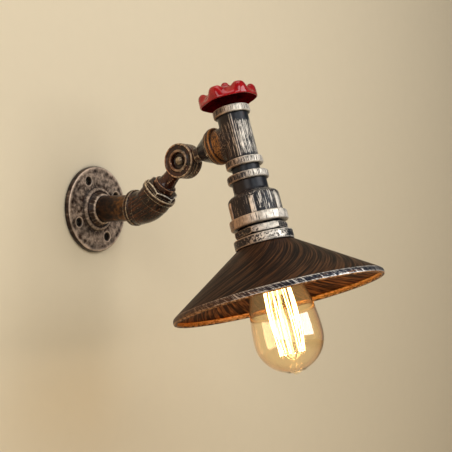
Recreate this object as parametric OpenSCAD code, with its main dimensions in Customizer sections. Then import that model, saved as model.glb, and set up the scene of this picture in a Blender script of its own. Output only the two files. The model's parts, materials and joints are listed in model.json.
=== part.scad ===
// Swing arm wall lamp built from threaded pipe fittings.
// The back of the wall flange is on the plane y = 0, the lamp reaches out along -Y, and +Z is up.

/* [Pipe and threads] */
// Outside diameter of the pipe nipples
pipe_d = 26.7; // [24:0.1:28]
// Wall of the pipe nipples
pipe_wall = 2.9; // [2:0.1:4]
// Depth to which a nipple screws into a fitting
thread_depth = 10; // [6:0.5:12]
// Radial gap between two pieces that are screwed or pressed together
fit_gap = 0.1; // [0.05:0.01:0.2]
// Radial gap between a shaft and the bore that it turns in
running_gap = 0.05; // [0.02:0.01:0.09]
// Wall of a fitting outside its thread
fitting_wall = 1.9; // [1.4:0.1:3]

/* [Wall flange] */
// Diameter of the flange
flange_d = 88; // [80:1:110]
// Thickness of the flange at its edge
flange_t = 5; // [4:0.5:8]
// Diameter of the bead round the foot of the hub
hub_base_d = 44; // [40:1:48]
// Diameter of the hub at its mouth
hub_top_d = 31; // [30:0.5:36]
// Distance from the wall to the mouth of the hub
hub_h = 14; // [11:0.5:20]
// Diameter of the circle of screw holes
screw_circle_d = 63; // [60:0.5:70]
// Number of screw holes
screw_count = 4; // [3:1:6]
// Diameter of a screw hole
screw_hole_d = 8; // [5:0.5:9]
// Angle of the first screw hole, from the right and upwards
screw_angle = 116; // [0:1:180]

/* [Elbow] */
// Distance from the wall to the point where the elbow's two axes cross
wall_to_bend = 71.5; // [66:0.5:90]
// Bend of the elbow
elbow_angle = 45; // [30:1:60]
// Length of the elbow's leg towards the wall
elbow_in_leg = 19; // [17:0.5:24]
// Length of the elbow's leg towards the knuckle
elbow_out_leg = 22; // [19:0.5:26]
// Diameter of the elbow's body
elbow_body_d = 33; // [31.5:0.5:35]
// Diameter of the bands at the elbow's ends and the tee's side port
band_d = 36.5; // [36:0.5:40]
// Width of those bands
band_w = 5.5; // [4:0.5:8]

/* [Knuckle] */
// Distance from the elbow's bend to the knuckle's pivot
bend_to_pivot = 62; // [60:0.5:75]
// Rise of the upper arm above the level
arm_rise = 16.2; // [0:0.1:40]
// Diameter of each knuckle eye
eye_d = 34; // [32:0.2:36]
// Thickness of each knuckle eye
eye_t = 9; // [8:0.1:10]
// Thickness of the friction washer between the eyes
washer_t = 0.6; // [0.4:0.1:1.5]
// Diameter of the pivot bolt's shank
pivot_d = 6; // [5:0.5:7]
// Diameter of the knuckle's neck
neck_d = 15; // [13:0.5:16]
// Diameter of the collar on the knuckle's lower half
collar_d = 23; // [20:0.5:24]
// Diameter of the knuckle's threaded stubs
stub_d = 13; // [10:0.5:14]
// Diameter of the wire passage through the knuckle
wire_bore_d = 7; // [5:0.5:8]
// Height of the hex on the elbow's bushing
hex_h = 5; // [4:0.5:7]
// Size of that hex across its flats
hex_af = 30.5; // [28:0.5:32]

/* [Tee and upper arm] */
// Distance from the knuckle's pivot to the tee's axis
pivot_to_tee = 67; // [65:0.5:75]
// Half the length of the tee's run
tee_half_run = 29; // [27:0.5:34]
// Length of the tee's side port from the tee's axis
tee_port_len = 27; // [25:0.5:28]
// Diameter of the tee's body
tee_body_d = 29.5; // [29:0.5:31]
// Diameter of the collars at the ends of the tee's run
tee_collar_d = 35.5; // [34:0.5:38]
// Width of those collars
tee_collar_w = 7.3; // [5:0.1:9]
// Diameter of the small end of the cone between the knuckle and the tee
cone_small_d = 18.5; // [17:0.5:21]
// Diameter of the large end of that cone
cone_large_d = 34; // [32:0.5:36]
// Length of that cone
cone_len = 16; // [14:0.5:17]

/* [Handwheel] */
// Diameter of the handwheel over its lobes
wheel_d = 56; // [52:1:66]
// Number of lobes
wheel_lobes = 6; // [5:1:8]
// Height of the rim from its lower edge to the top of a lobe
wheel_h = 13; // [11:0.5:14]
// Distance from the tee's upper face to the rim's lower edge
wheel_lift = 6; // [5:0.5:10]
// Diameter of the stem that the wheel turns
stem_d = 6; // [5:0.5:7]
// Diameter of the wheel's hub
wheel_hub_d = 17; // [15:0.5:19]

/* [Reducer] */
// Length of nipple that shows between the tee and the reducer
nipple_gap = 6.9; // [4:0.1:12]
// Diameter of the reducer's small band
small_band_d = 39.4; // [37:0.2:42]
// Width of the small band
small_band_w = 7.3; // [5:0.1:9]
// Diameter of the reducer's neck
reducer_neck_d = 33; // [31.5:0.5:35]
// Length of the neck
reducer_neck_len = 9; // [6:0.5:14]
// Length of the shoulder between neck and bell
shoulder_len = 8.5; // [6:0.5:10]
// Diameter of the bell
bell_d = 48.7; // [48:0.1:52]
// Length of the bell
bell_len = 16.3; // [15:0.1:26]
// Diameter of the large band at the bell's mouth
large_band_d = 55; // [53:0.1:58]
// Width of the large band
large_band_w = 9.3; // [7:0.1:12]
// Number of ribs on the bell
rib_count = 6; // [4:1:8]

/* [Lampholder] */
// Diameter of the lampholder's body
holder_d = 38; // [37:0.5:39]
// Diameter of the sleeve's thread in the bell
sleeve_thread_d = 42; // [41.5:0.1:43]
// Size across the flats of the sleeve's hex
sleeve_hex_af = 44; // [43:0.5:47]
// Width of the sleeve's hex
sleeve_band_w = 6.9; // [5:0.1:9]
// Groove above and below the sleeve's hex
sleeve_groove = 1.4; // [0.8:0.1:2.5]
// Diameter of the shade's lock ring
lock_ring_d = 56; // [54:0.5:60]
// Width of the lock ring
lock_ring_w = 9.2; // [7:0.1:12]
// Inside diameter of the lampholder's screw shell
shell_bore_d = 27; // [26.9:0.1:28]

/* [Shade] */
// Diameter of the shade at its rim
shade_d = 197.8; // [160:0.2:240]
// Depth of the shade from its top to its rim
shade_h = 53; // [45:0.5:70]
// Diameter where the flat top turns into the cone
shade_top_d = 55; // [52:0.5:60]
// Height of the turned lip at the rim
lip_h = 7; // [5:0.5:10]
// Thickness of the sheet
sheet_t = 1.2; // [0.8:0.1:2]

/* [Bulb] */
// Diameter of the bulb's glass
bulb_d = 64.4; // [58:0.2:70]
// Length of the bulb from its contact to the end of the glass
bulb_len = 140; // [134:1:150]
// Diameter of the bulb's screw cap
cap_d = 26.2; // [25:0.1:26.4]
// Length of the screw cap
cap_len = 20; // [16:0.5:24]
// Thickness of the glass
glass_t = 1; // [0.6:0.1:1.5]
// Number of filament spans between the upper and lower hooks
filament_spans = 16; // [8:2:20]
// Diameter of the filament's cage
cage_d = 23; // [16:0.5:26]

/* [Hidden] */
$fn = 96;
cut = 1;                                    // overrun of a cutting tool past the face that it leaves
arc_steps = 6;                              // straight steps in a rounded edge
pipe_r = pipe_d / 2;
pipe_bore_r = pipe_r - pipe_wall;
socket_r = pipe_r + fit_gap;                // bore of a fitting around a nipple
edge_r = 1.4;                               // rounding of a cast band

flange_edge_r = 1.8;
hub_bead_r = 2.2;                           // section of the bead round the hub's foot
screw_chamfer = 0.8;

bend_r = 24;                                // centreline radius of the elbow
bend_tangent = bend_r * tan(elbow_angle / 2);
leg_step = 0.4;                             // a straight leg is this much larger in radius than the bend
hex_turn = 26;                              // turn of the bushing's hex about the elbow's outer leg

eye_r = eye_d / 2;
eye_gap = washer_t / 2;                     // distance from the parting plane to each eye
pivot_r = pivot_d / 2;
eye_clear = 0.6;                            // room round an eye for the other half's neck
recess_r = 7.6;                             // recess for the bolt's head or nut
recess_depth = 4.2;
ring_r = 9.6;                               // raised ring round the recess
ring_bead_r = 1.6;
eye_edge_r = 1.4;                           // rounding of an eye's outer edge
rim_groove_w = 1.8;                         // groove round the rim of each eye
rim_groove_depth = 0.9;
rim_middle = (eye_gap + edge_r + eye_t - eye_edge_r) / 2;
chamber_in_r = 9.2;                         // wire chamber round the pivot
chamber_out_r = 12.8;
chamber_depth = 2.6;
stub_r = stub_d / 2;
stub_len = 12;
collar_w = 5;
bolt_head_r = 4.2;
bolt_head_h = 5.2;
bolt_dome_r = 5;
nut_af = 10;
nut_h = 3.6;
pivot_z = bend_to_pivot * sin(elbow_angle);
pivot_out = wall_to_bend + bend_to_pivot * cos(elbow_angle);
base_neck_end = bend_to_pivot - elbow_out_leg - hex_h - collar_w;

port_face = pivot_to_tee - tee_port_len;    // tee's side port, from the pivot
cone_start = port_face - cone_len;

wheel_base = tee_half_run + wheel_lift;     // rim's lower edge above the tee's axis
wheel_r = wheel_d / 2;
stem_r = stem_d / 2;
lobe_r = wheel_d * 0.16;                    // plan radius of a lobe
hollow_r = wheel_d * 0.15;                  // radius of a hollow between lobes, at its top
hollow_foot_r = wheel_d * 0.066;            // and at the rim's lower edge
hollow_out = 2.4;                           // from the lobes' circle out to a hollow's centre
plan_inset = 1.2;                           // from the lobes' circle in to the rim between them
web_drop = 2.2;                             // from the rim's top down to the web's
under_depth = 5.2;                          // hollow under the web
wheel_rib_w = 2.4;                          // rib under a lobe
knob_r = 5.2;                               // rounded top of a lobe
knob_inset = 0.6;                           // from a lobe's edge to its rounded top
wheel_turn = 126;                           // angle of the first lobe at rest
bushing_r = stem_r + 2;                     // threaded bushing of the rotary switch
switch_r = pipe_bore_r - 1.2;
switch_len = 22;
switch_top = tee_half_run - thread_depth;   // underside of the bonnet
rotor_r = switch_r - 2.4;
vane_t = 4.4;                               // thickness of the switch rotor's vanes
hub_foot = tee_half_run + 3.4;              // underside of the wheel's hub
nut_seat = wheel_base + wheel_h - 3;        // boss that the wheel's nut sits on
wheel_nut_h = 7;                            // flats of the wheel's nut, below its dome

reducer_top = tee_half_run + nipple_gap;
neck_top = reducer_top + small_band_w;
shoulder_top = neck_top + reducer_neck_len;
bell_top = shoulder_top + shoulder_len;
large_band_top = bell_top + bell_len;
reducer_end = large_band_top + large_band_w;
bell_bore_r = sleeve_thread_d / 2 + fit_gap;
sleeve_spigot = 13;                         // sleeve's thread in the bell
rib_turn = 153;                             // angle of the bell's first rib
bell_rib_w = 4.6;
bell_rib_out = 1.5;                         // height of a rib on the bell
bell_rib_ramp = 3.5;                        // length of the slope at a rib's upper end

band_top = reducer_end + sleeve_groove;
band_end = band_top + sleeve_band_w;
lock_top = band_end + sleeve_groove;
lock_end = lock_top + lock_ring_w;
sleeve_r = sleeve_thread_d / 2;             // thread that the bell and the lock ring run on
sleeve_turn = -12.5;                        // turn of the sleeve's hex about the head's axis
sleeve_chamfer = 1.6;                       // turned-down corners of that hex
shade_top = lock_end + fit_gap;

holder_r = holder_d / 2;
holder_top = bell_top + 4;
holder_drop = 10;                           // holder's end below the shade's top
holder_end = shade_top + holder_drop;
holder_ring_r = holder_r + 6.5;
holder_ring_w = 7;
shell_r = shell_bore_d / 2;
shell_t = 0.6;
contact_well_r = 7.5;                       // well under the screw shell for the centre contact
contact_well_h = 2.2;
contact_plate_t = 0.8;
terminal_x = 9;                             // from the axis to each terminal screw
terminal_r = 1.5;
terminal_hole_r = 1.6;
terminal_head_r = 3;
terminal_head_h = 2;
terminal_slot = 0.8;
terminal_depth = 7;
tip_depth = 21;                             // bulb's contact above the shade's top
tip_z = shade_top - tip_depth;
shell_lead = 0.5;                           // screw shell starts this much above the bulb's contact
shell_inset = 2.5;                          // and ends this much inside the holder
shell_top = tip_z - shell_lead;
tip_r = 4.8;
tip_h = 2.4;
insulator_h = 4;
cap_top = tip_z + tip_h + insulator_h;
cap_end = cap_top + cap_len;
cap_r = cap_d / 2;
cap_t = 0.5;

shade_r = shade_d / 2;
shade_end = shade_top + shade_h;
lip_top = shade_end - lip_h;
bulb_r = bulb_d / 2;
bulb_end = tip_z + bulb_len;
bulb_wide = bulb_end - bulb_r;              // widest place of the glass
glass_neck_r = cap_r - cap_t - fit_gap;
cage_drop = 26;                             // from the cap to the upper hooks
cage_foot = 18;                             // from the lower hooks to the end of the glass
cage_top = cap_end + cage_drop;
cage_end = bulb_end - cage_foot;
filament_r = 0.4;
stem_len = 23;                              // glass stem from the cap to its rod
hook_r = 0.3;
hook_step = 4.5;                            // half the angle that the filament takes round a hook
rod_r = 1.6;                                // glass rod that carries the hooks

iron = [0.17, 0.14, 0.12];
dark_iron = [0.12, 0.11, 0.11];
brass = [0.71, 0.58, 0.30];
steel = [0.62, 0.62, 0.60];

// Points of an arc, from one angle to another
function arc(centre, r, from, to, n = arc_steps) =
    [for (i = [0:n]) let (a = from + (to - from) * i / n) centre + r * [cos(a), sin(a)]];

// Points of a cubic curve through its first and last control points
function curve(a, b, c, d, n = 16) =
    [for (i = [0:n]) let (t = i / n, s = 1 - t)
        s * s * s * a + 3 * s * s * t * b + 3 * s * t * t * c + t * t * t * d];

// Frames. Wall: +Z out of the wall, +Y up. Bend: +Z along the elbow's outer leg.
module wall_frame() rotate([90, 0, 0]) children();
module bend_frame() wall_frame() translate([0, 0, wall_to_bend]) rotate([-elbow_angle, 0, 0]) children();
// Base: origin at the pivot, +Z back along the elbow's outer leg.
module base_frame() bend_frame() translate([0, 0, bend_to_pivot]) rotate([180, 0, 0]) children();
// Arm: origin at the pivot, +Z along the upper arm. Head: origin at the tee, +Z towards the bulb.
module arm_frame() wall_frame() translate([0, pivot_z, pivot_out]) rotate([-arm_rise, 0, 0]) children();
module head_frame() arm_frame() translate([0, 0, pivot_to_tee]) rotate([90, 0, 0]) children();
// Top: origin at the tee, +Z towards the handwheel.
module top_frame() head_frame() rotate([180, 0, 0]) children();

module tube(r, bore_r, from, to) {
    difference() {
        translate([0, 0, from]) cylinder(r = r, h = to - from);
        translate([0, 0, from - cut]) cylinder(r = bore_r, h = to - from + 2 * cut);
    }
}

// Band with rounded edges round a body of radius in_r
module round_band(r, in_r, from, width, edge = edge_r) {
    rotate_extrude() polygon(concat(
        [[in_r, from]],
        arc([r - edge, from + edge], edge, -90, 0),
        arc([r - edge, from + width - edge], edge, 0, 90),
        [[in_r, from + width]]));
}

module hex_prism(af, h) cylinder(r = af / 2 / cos(30), h = h, $fn = 6);

// Hex with its corners turned down at one end
module turned_hex(af, h, turned = 1) {
    corner_r = af / 2 / cos(30);
    intersection() {
        hex_prism(af, h);
        rotate_extrude() polygon([[0, 0], [corner_r + cut, 0], [corner_r + cut, h - turned - cut * tan(30)],
                                  [af / 2 - turned, h], [0, h]]);
    }
}

module wall_flange() color(iron) wall_frame() difference() {
    rotate_extrude() polygon(concat(
        [[socket_r, 0], [flange_d / 2, 0]],
        arc([flange_d / 2 - flange_edge_r, flange_t - flange_edge_r], flange_edge_r, 0, 90),
        arc([hub_base_d / 2 - hub_bead_r, flange_t + hub_bead_r / 2], hub_bead_r, -30, 120),
        [[hub_base_d / 2 - 1.9 * hub_bead_r, flange_t + 1.2 * hub_bead_r]],
        arc([hub_top_d / 2 - edge_r, hub_h - edge_r], edge_r, 20, 90),
        [[socket_r, hub_h]]));
    for (i = [0:screw_count - 1]) rotate(screw_angle + 360 * i / screw_count)
        translate([screw_circle_d / 2, 0, 0]) {
            translate([0, 0, -cut]) cylinder(d = screw_hole_d, h = flange_t + 2 * cut);
            translate([0, 0, flange_t - screw_chamfer])
                cylinder(d1 = screw_hole_d, d2 = screw_hole_d + 2 * (screw_chamfer + cut),
                         h = screw_chamfer + cut);
        }
}

module wall_nipple() color(dark_iron) wall_frame()
    tube(pipe_r, pipe_bore_r, 1, wall_to_bend - elbow_in_leg + thread_depth);

// Round bar bent along the elbow's centreline, with straight ends a little larger than the bend
module bent_bar(r, end_r, in_len, out_len) {
    lap = 2;
    translate([0, bend_r, -bend_tangent]) rotate([90, 0, -90])
        rotate_extrude(angle = elbow_angle) translate([bend_r, 0]) circle(r = r);
    translate([0, 0, -in_len]) cylinder(r = end_r, h = in_len - bend_tangent + lap);
    rotate([-elbow_angle, 0, 0]) translate([0, 0, bend_tangent - lap])
        cylinder(r = end_r, h = out_len - bend_tangent + lap);
}

module elbow() color(iron) wall_frame() translate([0, 0, wall_to_bend]) difference() {
    body_r = elbow_body_d / 2;
    union() {
        bent_bar(body_r, body_r + leg_step, elbow_in_leg - cut, elbow_out_leg - cut);
        round_band(band_d / 2, socket_r, -elbow_in_leg, band_w);
        rotate([-elbow_angle, 0, 0]) round_band(band_d / 2, socket_r, elbow_out_leg - band_w, band_w);
    }
    bent_bar(pipe_bore_r, pipe_bore_r + leg_step, elbow_in_leg + cut, elbow_out_leg + cut);
    translate([0, 0, -elbow_in_leg - cut]) cylinder(r = socket_r, h = thread_depth + fit_gap + cut);
    rotate([-elbow_angle, 0, 0]) translate([0, 0, elbow_out_leg - thread_depth - fit_gap])
        cylinder(r = socket_r, h = thread_depth + fit_gap + cut);
}

module elbow_bushing() color(dark_iron) bend_frame() difference() {
    union() {
        translate([0, 0, elbow_out_leg]) rotate(hex_turn) turned_hex(hex_af, hex_h);
        translate([0, 0, elbow_out_leg - thread_depth]) cylinder(r = pipe_r, h = thread_depth + cut);
    }
    translate([0, 0, elbow_out_leg - thread_depth - cut])
        cylinder(r = stub_r + fit_gap, h = thread_depth + hex_h + 3 * cut);
}

// Eye of the knuckle, with its axis along X and its outer face at -X
module eye_disc() rotate([0, -90, 0]) rotate_extrude() polygon(concat(
    [[pivot_r + running_gap, eye_gap], [chamber_in_r, eye_gap], [chamber_in_r, eye_gap + chamber_depth],
     [chamber_out_r, eye_gap + chamber_depth], [chamber_out_r, eye_gap], [eye_r - edge_r, eye_gap]],
    arc([eye_r - edge_r, eye_gap + edge_r], edge_r, -90, 0),
    [[eye_r, rim_middle - rim_groove_w / 2], [eye_r - rim_groove_depth, rim_middle],
     [eye_r, rim_middle + rim_groove_w / 2]],
    arc([eye_r - eye_edge_r, eye_t - eye_edge_r], eye_edge_r, 0, 90),
    [[eye_r - eye_edge_r - 1, eye_t - 1]],
    arc([ring_r, eye_t - 1], ring_bead_r, 0, 180, 2 * arc_steps),
    [[recess_r, eye_t - recess_depth], [pivot_r + running_gap, eye_t - recess_depth]]));

// Half of the knuckle: eye at the origin, neck, collar and threaded stub along +Z
module knuckle_half(neck_end, flare_r, collar_r, collar_len) {
    difference() {
        union() {
            eye_disc();
            difference() {
                rotate_extrude() polygon(concat(
                    [[0, eye_r - 4], [neck_d / 2, eye_r - 4]],
                    curve([neck_d / 2, eye_r], [neck_d / 2, (eye_r + neck_end) / 2],
                          [flare_r - 1, neck_end - 1.5], [flare_r, neck_end], 8),
                    [[collar_r, neck_end], [collar_r, neck_end + collar_len], [stub_r, neck_end + collar_len],
                     [stub_r, neck_end + collar_len + stub_len], [0, neck_end + collar_len + stub_len]]));
                // the other eye's room
                translate([-eye_gap, 0, 0]) rotate([0, 90, 0]) cylinder(r = eye_r + eye_clear, h = neck_d);
                // the neck stays inside the eye's own thickness near the pivot
                translate([-eye_t - neck_d, 0, 0]) rotate([0, 90, 0])
                    cylinder(r = eye_r - edge_r, h = neck_d + eye_edge_r);
            }
        }
        translate([0, 0, chamber_in_r + 1])
            cylinder(d = wire_bore_d, h = neck_end + collar_len + stub_len);
    }
}

module knuckle_base() color(iron) base_frame()
    knuckle_half(base_neck_end, collar_d / 2 - 2, collar_d / 2, collar_w);

module knuckle_eye() color(iron) arm_frame() mirror([1, 0, 0])
    knuckle_half(cone_start - fit_gap, neck_d / 2 + 0.4, stub_r, 0.5);

module pivot_bolt() color(steel) base_frame() rotate([0, -90, 0]) {
    head_seat = eye_t - recess_depth;
    translate([0, 0, head_seat]) intersection() {
        cylinder(r = bolt_head_r, h = bolt_head_h);
        translate([0, 0, bolt_head_h - bolt_dome_r]) sphere(r = bolt_dome_r);
    }
    translate([0, 0, -head_seat - nut_h]) cylinder(r = pivot_r, h = 2 * head_seat + nut_h + cut);
}

module pivot_nut() color(steel) base_frame() rotate([0, 90, 0]) difference() {
    translate([0, 0, eye_t - recess_depth + fit_gap]) turned_hex(nut_af, nut_h - 2 * fit_gap, 0.6);
    cylinder(r = pivot_r + running_gap, h = 2 * eye_t);
}

module friction_washer() color(brass) base_frame() rotate([0, 90, 0])
    tube(recess_r, pivot_r + running_gap, -eye_gap, eye_gap);

module arm_cone() color(iron) arm_frame() difference() {
    rotate_extrude() polygon(concat(
        [[0, cone_start], [cone_small_d / 2 - 0.6, cone_start], [cone_small_d / 2, cone_start + 0.6]],
        arc([cone_large_d / 2 - 2.5, port_face - 2.5], 2.5, 30, 0),
        [[cone_large_d / 2, port_face], [pipe_r, port_face], [pipe_r, port_face + thread_depth],
         [0, port_face + thread_depth]]));
    translate([0, 0, cone_start - cut]) cylinder(r = stub_r + fit_gap, h = cone_len + thread_depth + 2 * cut);
}

module tee() color(iron) head_frame() {
    rib_w = 3;
    rib_out = 1;
    rib_turn_from_port = 67;
    difference() {
        union() {
            translate([0, 0, -tee_half_run]) cylinder(d = tee_body_d, h = 2 * tee_half_run);
            round_band(tee_collar_d / 2, pipe_bore_r, -tee_half_run, tee_collar_w);
            round_band(tee_collar_d / 2, pipe_bore_r, tee_half_run - tee_collar_w, tee_collar_w);
            rotate([90, 0, 0]) {
                cylinder(r = socket_r + fitting_wall, h = tee_port_len - 1);
                round_band(band_d / 2, pipe_bore_r, tee_port_len - band_w, band_w);
            }
            for (side = [-1, 1]) rotate(90 + side * rib_turn_from_port)
                translate([0, -rib_w / 2, -tee_half_run + edge_r])
                cube([tee_body_d / 2 + rib_out, rib_w, 2 * tee_half_run - 2 * edge_r]);
        }
        translate([0, 0, -tee_half_run - cut]) cylinder(r = pipe_bore_r, h = 2 * (tee_half_run + cut));
        rotate([90, 0, 0]) cylinder(r = pipe_bore_r, h = tee_port_len + cut);
        for (end = [0, 180]) rotate([end, 0, 0]) translate([0, 0, tee_half_run - thread_depth - fit_gap])
            cylinder(r = socket_r, h = thread_depth + fit_gap + cut);
        rotate([90, 0, 0]) translate([0, 0, tee_port_len - thread_depth - fit_gap])
            cylinder(r = socket_r, h = thread_depth + fit_gap + cut);
    }
}

module switch_bonnet() color(dark_iron) top_frame()
    tube(pipe_r, bushing_r + fit_gap, switch_top, tee_half_run);

module switch_bushing() color(brass) top_frame()
    tube(bushing_r, stem_r + running_gap, switch_top, tee_half_run + 2.8);

module switch_nut() color(brass) top_frame() difference() {
    translate([0, 0, tee_half_run + fit_gap]) turned_hex(2 * bushing_r + 4, 2.4, 0.5);
    translate([0, 0, tee_half_run]) cylinder(r = bushing_r + fit_gap, h = 2 * thread_depth, center = true);
}

module switch_body() color([0.08, 0.08, 0.09]) top_frame() difference() {
    translate([0, 0, switch_top - switch_len]) cylinder(r = switch_r, h = switch_len);
    translate([0, 0, switch_top - switch_len + 3]) cylinder(r = rotor_r + 0.4, h = switch_len - 6);
    translate([0, 0, switch_top - 4]) cylinder(r = stem_r + running_gap, h = 4 + cut);
}

module switch_rotor() color([0.75, 0.72, 0.62]) top_frame()
    translate([0, 0, switch_top - switch_len + 4]) difference() {
        intersection() {
            cylinder(r = rotor_r, h = switch_len - 9);
            for (turn = [0, 90]) rotate(turn) translate([-rotor_r, -vane_t / 2, 0])
                cube([2 * rotor_r, vane_t, switch_len]);
        }
        translate([0, 0, 4]) cylinder(r = stem_r - 1, h = switch_len);
    }

module wheel_stem() color(steel) top_frame() {
    rotor_socket = switch_top - switch_len + 8.2;
    translate([0, 0, rotor_socket]) cylinder(r = stem_r - 1 - fit_gap, h = switch_top - 5 - rotor_socket + cut);
    translate([0, 0, switch_top - 5]) cylinder(r = stem_r, h = hub_foot + 2 - switch_top + 5);
    translate([0, 0, hub_foot + 1]) cylinder(r = stem_r - 0.8, h = nut_seat + 4 - hub_foot);
}

// Handwheel's rim before it is rounded: upright lobes, and hollows that taper out to a round lower edge
module wheel_blank() difference() {
    linear_extrude(height = wheel_h) {
        circle(r = wheel_r - plan_inset);
        for (i = [0:wheel_lobes - 1]) rotate(wheel_turn + 360 * i / wheel_lobes)
            translate([wheel_r - lobe_r, 0]) circle(r = lobe_r);
    }
    for (i = [0:wheel_lobes - 1]) rotate(wheel_turn + 360 * (i + 0.5) / wheel_lobes)
        translate([wheel_r + hollow_out, 0, -cut])
            cylinder(r1 = hollow_foot_r, r2 = hollow_r, h = wheel_h + 2 * cut);
}

module handwheel() color([0.72, 0.04, 0.06]) top_frame() difference() {
    wall_in_r = wheel_r - 7;                // inside of the rim's skirt
    web_r = wheel_hub_d / 2;
    rim_h = wheel_h - 3;                    // height of the rim between the lobes
    union() {
        translate([0, 0, hub_foot]) cylinder(r1 = web_r - 1.5, r2 = web_r, h = nut_seat - hub_foot);
        translate([0, 0, wheel_base]) {
            intersection() {
                wheel_blank();
                rotate_extrude() polygon(concat(
                    [[0, 0], [wheel_r - 0.6, 0], [wheel_r + 0.1, 0.8]],
                    arc([wheel_r - 5, rim_h - 3], 3, 20, 90),
                    [[wheel_r - 9, rim_h], [web_r, rim_h - web_drop], [0, rim_h - web_drop]]));
            }
            for (i = [0:wheel_lobes - 1]) rotate(wheel_turn + 360 * i / wheel_lobes)
                translate([wheel_r - knob_r - knob_inset, 0, wheel_h - knob_r]) sphere(r = knob_r);
        }
    }
    // hollow underside, with a rib under each lobe
    translate([0, 0, wheel_base - cut]) difference() {
        rotate_extrude() polygon([
            [web_r + 0.5, 0], [wall_in_r + 1, 0],
            [wall_in_r - 1, under_depth], [web_r + 0.5, under_depth - 0.6]]);
        for (i = [0:wheel_lobes - 1]) rotate(wheel_turn + 360 * i / wheel_lobes)
            translate([0, -wheel_rib_w / 2, -cut]) cube([wheel_r, wheel_rib_w, rim_h]);
    }
    translate([0, 0, hub_foot - cut]) cylinder(r = stem_r + fit_gap, h = 3 + cut);
    translate([0, 0, hub_foot]) cylinder(r = stem_r - 0.8 + fit_gap, h = wheel_h + wheel_lift);
}

module wheel_nut() color(steel) top_frame() translate([0, 0, nut_seat + fit_gap]) {
    nut_across = 2 * stem_r + 3;
    dome_r = nut_across / 2;
    difference() {
        union() {
            turned_hex(nut_across, wheel_nut_h, 0.6);
            translate([0, 0, wheel_nut_h - 0.5]) sphere(r = dome_r - 0.6);
        }
        translate([0, 0, -dome_r - cut]) cylinder(r = nut_across, h = dome_r + cut);
        translate([0, 0, -cut]) cylinder(r = stem_r - 0.8 + fit_gap, h = 5.2 + cut);
    }
}

module head_nipple() color(dark_iron) head_frame()
    tube(pipe_r, pipe_bore_r, tee_half_run - thread_depth, reducer_top + thread_depth);

module reducer() color(iron) head_frame() {
    neck_r = reducer_neck_d / 2;
    bell_r = bell_d / 2;
    difference() {
        union() {
            rotate_extrude() polygon(concat(
                [[0, reducer_top + cut], [neck_r, reducer_top + cut]],
                curve([neck_r, shoulder_top], [neck_r, shoulder_top + shoulder_len * 0.45],
                      [bell_r, shoulder_top + shoulder_len * 0.35], [bell_r, bell_top], 10),
                [[bell_r, reducer_end - cut], [0, reducer_end - cut]]));
            round_band(small_band_d / 2, pipe_r, reducer_top, small_band_w);
            round_band(large_band_d / 2, bell_bore_r, large_band_top, large_band_w);
            intersection() {
                for (i = [0:rib_count - 1]) rotate(rib_turn + 360 * i / rib_count)
                    translate([bell_r - bell_rib_out, -bell_rib_w / 2, bell_top - 1])
                        cube([2 * bell_rib_out, bell_rib_w, bell_len + 2]);
                rotate_extrude() polygon([
                    [0, bell_top - 2], [bell_r - 0.4, bell_top - 2],
                    [bell_r + 2 * bell_rib_out, bell_top + 2 * bell_rib_ramp],
                    [bell_r + 2 * bell_rib_out, reducer_end], [0, reducer_end]]);
            }
        }
        translate([0, 0, reducer_top - cut]) cylinder(r = socket_r, h = thread_depth + fit_gap + cut);
        translate([0, 0, reducer_top]) cylinder(r = pipe_bore_r, h = bell_top - reducer_top + cut);
        translate([0, 0, bell_top]) cylinder(r = bell_bore_r, h = reducer_end - bell_top + cut);
    }
}

module holder_sleeve() color(iron) head_frame() difference() {
    spigot_top = reducer_end - sleeve_spigot;
    sleeve_end = lock_end - fit_gap;
    corner_r = sleeve_hex_af / 2 / cos(30);
    union() {
        translate([0, 0, spigot_top]) cylinder(r = sleeve_r, h = sleeve_end - spigot_top);
        intersection() {
            translate([0, 0, band_top]) rotate(sleeve_turn) hex_prism(sleeve_hex_af, sleeve_band_w);
            rotate_extrude() polygon([
                [0, band_top - cut], [corner_r - 2 * sleeve_chamfer, band_top - cut / 2],
                [corner_r + cut, band_top + sleeve_chamfer], [corner_r + cut, band_end - sleeve_chamfer],
                [corner_r - 2 * sleeve_chamfer, band_end + cut / 2], [0, band_end + cut]]);
        }
    }
    translate([0, 0, spigot_top - cut]) cylinder(r = holder_r + fit_gap, h = sleeve_end - spigot_top + 2 * cut);
}

module shade_lock_ring() color(iron) head_frame()
    round_band(lock_ring_d / 2, sleeve_r + fit_gap, lock_top, lock_ring_w);

module shade() color([0.20, 0.13, 0.09]) head_frame() {
    top_r = shade_top_d / 2;
    hole_r = holder_r + fit_gap;
    bead_r = 1.6;                           // rolled edge inside the lip
    knee_r = 4;
    slope = atan2(lip_top - shade_top, shade_r - knee_r - top_r);
    rotate_extrude() polygon(concat(
        [[hole_r, shade_top], [top_r, shade_top]],
        arc([shade_r - knee_r, lip_top + knee_r], knee_r, slope - 90, 0),
        [[shade_r, shade_end - bead_r]],
        arc([shade_r - bead_r, shade_end - bead_r], bead_r, 0, 180),
        [[shade_r - 2 * bead_r, shade_end - 1.6 * bead_r], [shade_r - sheet_t, shade_end - 1.6 * bead_r]],
        arc([shade_r - knee_r, lip_top + knee_r], knee_r - sheet_t, 0, slope - 90),
        [[top_r - sheet_t * tan(slope / 2), shade_top + sheet_t], [hole_r, shade_top + sheet_t]]));
}

module holder_ring() color([0.10, 0.09, 0.09]) head_frame()
    round_band(holder_ring_r, holder_r + fit_gap, shade_top + sheet_t + fit_gap, holder_ring_w, 0.8);

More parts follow.
